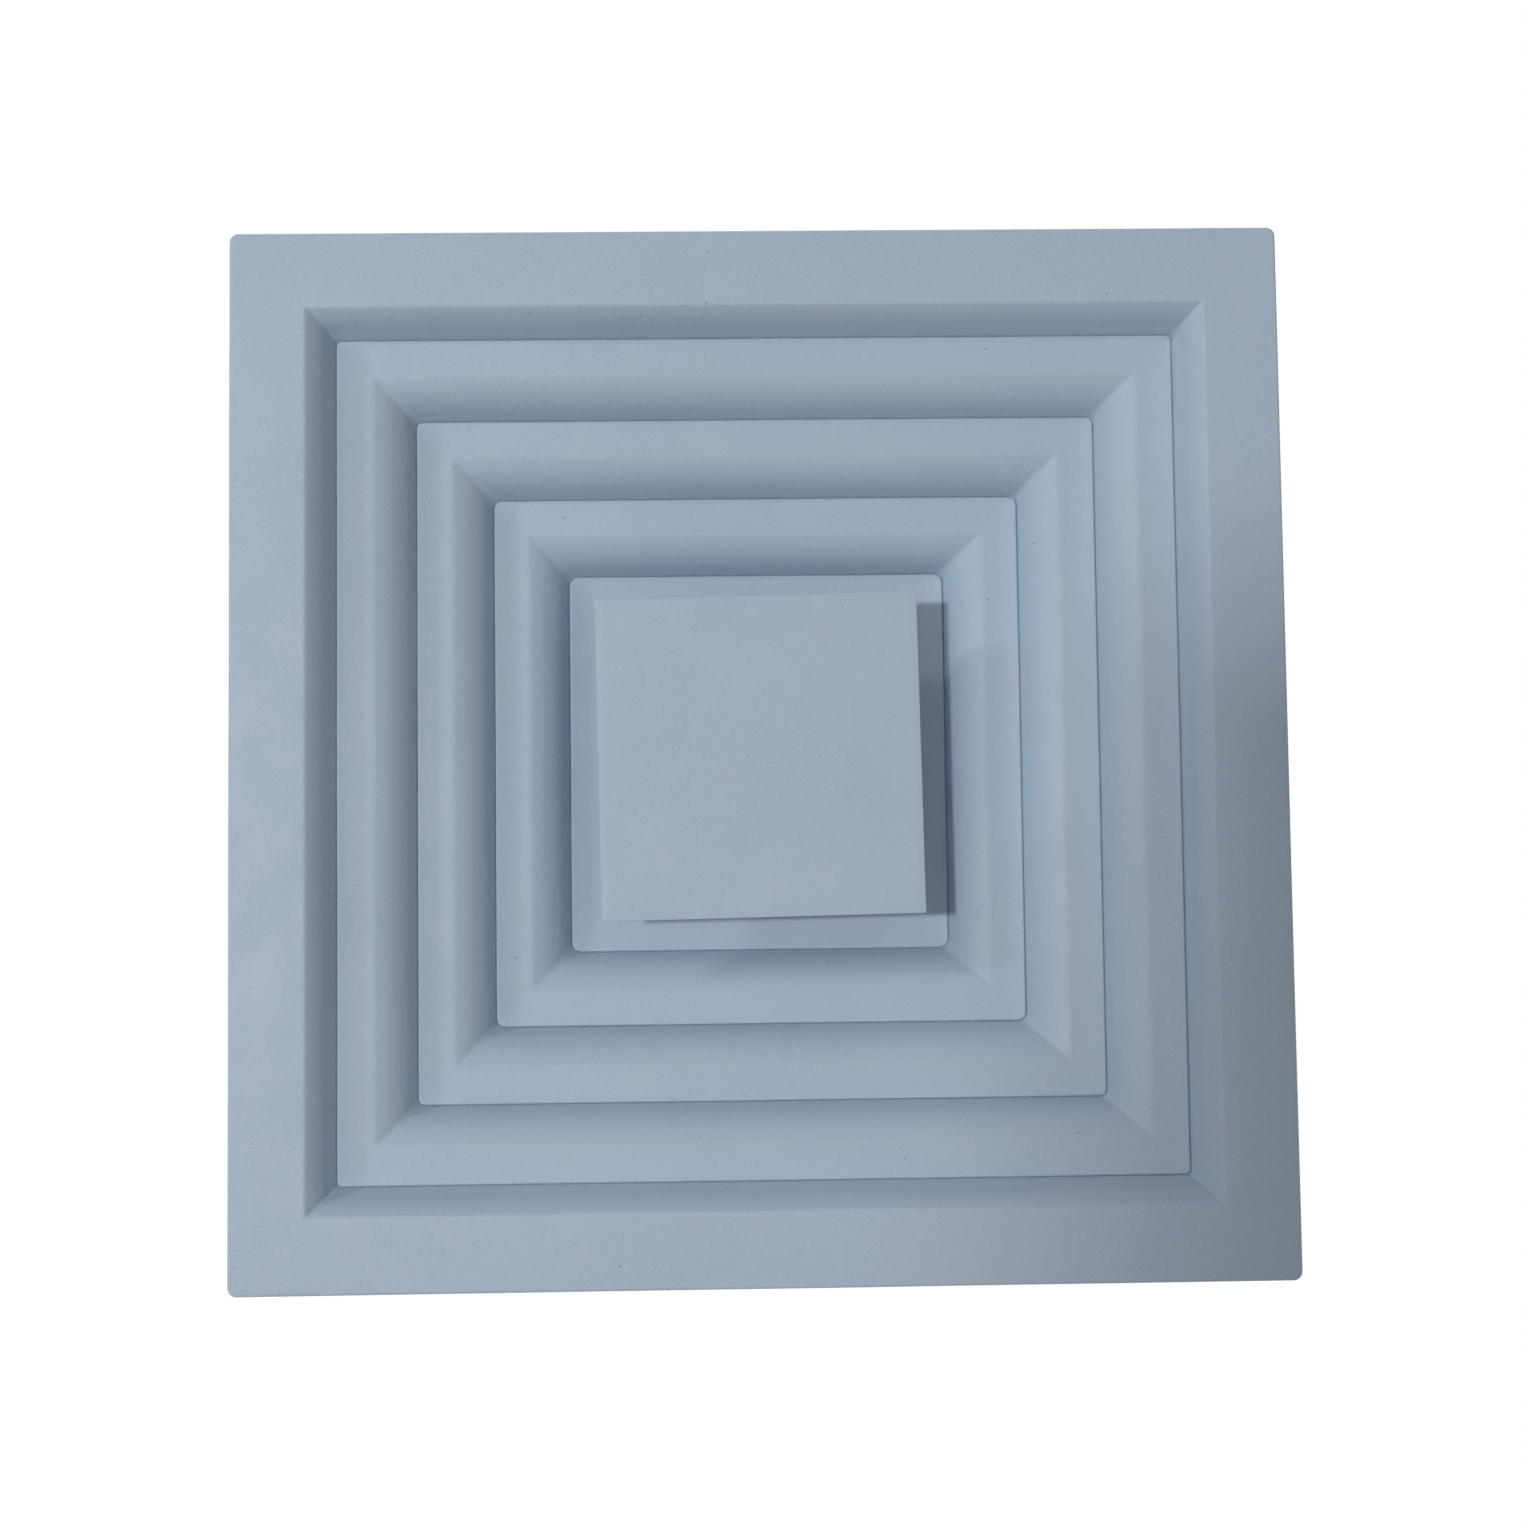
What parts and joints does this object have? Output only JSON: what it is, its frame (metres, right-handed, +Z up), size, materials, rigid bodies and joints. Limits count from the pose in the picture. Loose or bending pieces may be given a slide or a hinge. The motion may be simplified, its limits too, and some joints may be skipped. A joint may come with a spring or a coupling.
{
  "type": "square ceiling air diffuser",
  "caption": "Square ceiling air diffuser: flanged frame with a square neck, removable nested-cone core and a centre plate that screws up and down.",
  "frame": {"origin": "middle of the ceiling opening, level with the ceiling's surface, where the flange's edge and the gasket touch it", "axes": "+Z up into the ceiling; the visible face looks down (-Z); X and Y run along the sides of the square"},
  "size_m": [0.595, 0.595, 0.139],
  "materials": {
    "paint": "matte pale blue-grey powder coat with a fine grain",
    "galvanised": "galvanised sheet with a faint spangle",
    "zinc": "bright zinc plate, satin",
    "rivet": "plain aluminium",
    "foam": "closed-cell foam",
    "nylon": "natural nylon",
    "spring": "spring wire"
  },
  "bodies": {
    "frame": {"frame": "paint", "gasket": "foam", "neck_collar": "galvanised", "collar_rivet_1": "rivet", "collar_rivet_2": "rivet", "collar_rivet_3": "rivet", "collar_rivet_4": "rivet", "collar_rivet_5": "rivet", "collar_rivet_6": "rivet", "collar_rivet_7": "rivet", "collar_rivet_8": "rivet"},
    "core": {"ring_1": "paint", "ring_2": "paint", "ring_3": "paint", "ring_4": "paint", "cross_bar_x": "zinc", "cross_bar_y": "zinc", "ring_1_rivet_xp": "rivet", "ring_1_rivet_yp": "rivet", "ring_1_rivet_xn": "rivet", "ring_1_rivet_yn": "rivet", "ring_2_rivet_xp": "rivet", "ring_2_rivet_yp": "rivet", "ring_2_rivet_xn": "rivet", "ring_2_rivet_yn": "rivet", "ring_3_rivet_xp": "rivet", "ring_3_rivet_yp": "rivet", "ring_3_rivet_xn": "rivet", "ring_3_rivet_yn": "rivet", "ring_4_rivet_xp": "rivet", "ring_4_rivet_yp": "rivet", "ring_4_rivet_xn": "rivet", "ring_4_rivet_yn": "rivet", "spindle": "zinc", "hub_washer_upper": "zinc", "hub_washer_lower": "zinc", "hub_nut_upper": "zinc", "hub_nut_lower": "zinc", "catch_barrel_xp": "zinc", "catch_barrel_yp": "zinc", "catch_barrel_xn": "zinc", "catch_barrel_yn": "zinc", "catch_spring_xp": "spring", "catch_spring_yp": "spring", "catch_spring_xn": "spring", "catch_spring_yn": "spring"},
    "plate_carriage": {"thrust_washer": "nylon"},
    "plate": {"centre_plate": "paint", "plate_sleeve": "zinc", "lock_nut": "zinc"},
    "catch_xp": {"catch_plunger_xp": "nylon"},
    "catch_yp": {"catch_plunger_yp": "nylon"},
    "catch_xn": {"catch_plunger_xn": "nylon"},
    "catch_yn": {"catch_plunger_yn": "nylon"}
  },
  "joints": [
    {"name": "core_drop", "type": "slide", "parent": "frame", "child": "core", "axis": [0, 0, 1], "range_m": [-0.12, 0]},
    {"name": "plate_lift", "type": "slide", "parent": "core", "child": "plate_carriage", "axis": [0, 0, 1], "range_m": [-0.0101, 0.0189]},
    {"name": "plate_turn", "type": "hinge", "parent": "plate_carriage", "child": "plate", "pos_m": [0, 0, 0], "axis": [0, 0, 1], "range_deg": [-2880, 5400]},
    {"name": "catch_xp_press", "type": "slide", "parent": "core", "child": "catch_xp", "axis": [-1, 0, 0], "range_m": [0, 0.004], "stiffness_N_per_m": 1200},
    {"name": "catch_yp_press", "type": "slide", "parent": "core", "child": "catch_yp", "axis": [0, -1, 0], "range_m": [0, 0.004], "stiffness_N_per_m": 1200},
    {"name": "catch_xn_press", "type": "slide", "parent": "core", "child": "catch_xn", "axis": [1, 0, 0], "range_m": [0, 0.004], "stiffness_N_per_m": 1200},
    {"name": "catch_yn_press", "type": "slide", "parent": "core", "child": "catch_yn", "axis": [0, 1, 0], "range_m": [0, 0.004], "stiffness_N_per_m": 1200}
  ],
  "couplings": [
    {"joint": "plate_lift", "follows": "plate_turn", "m_per_rad": 0.00019894}
  ]
}
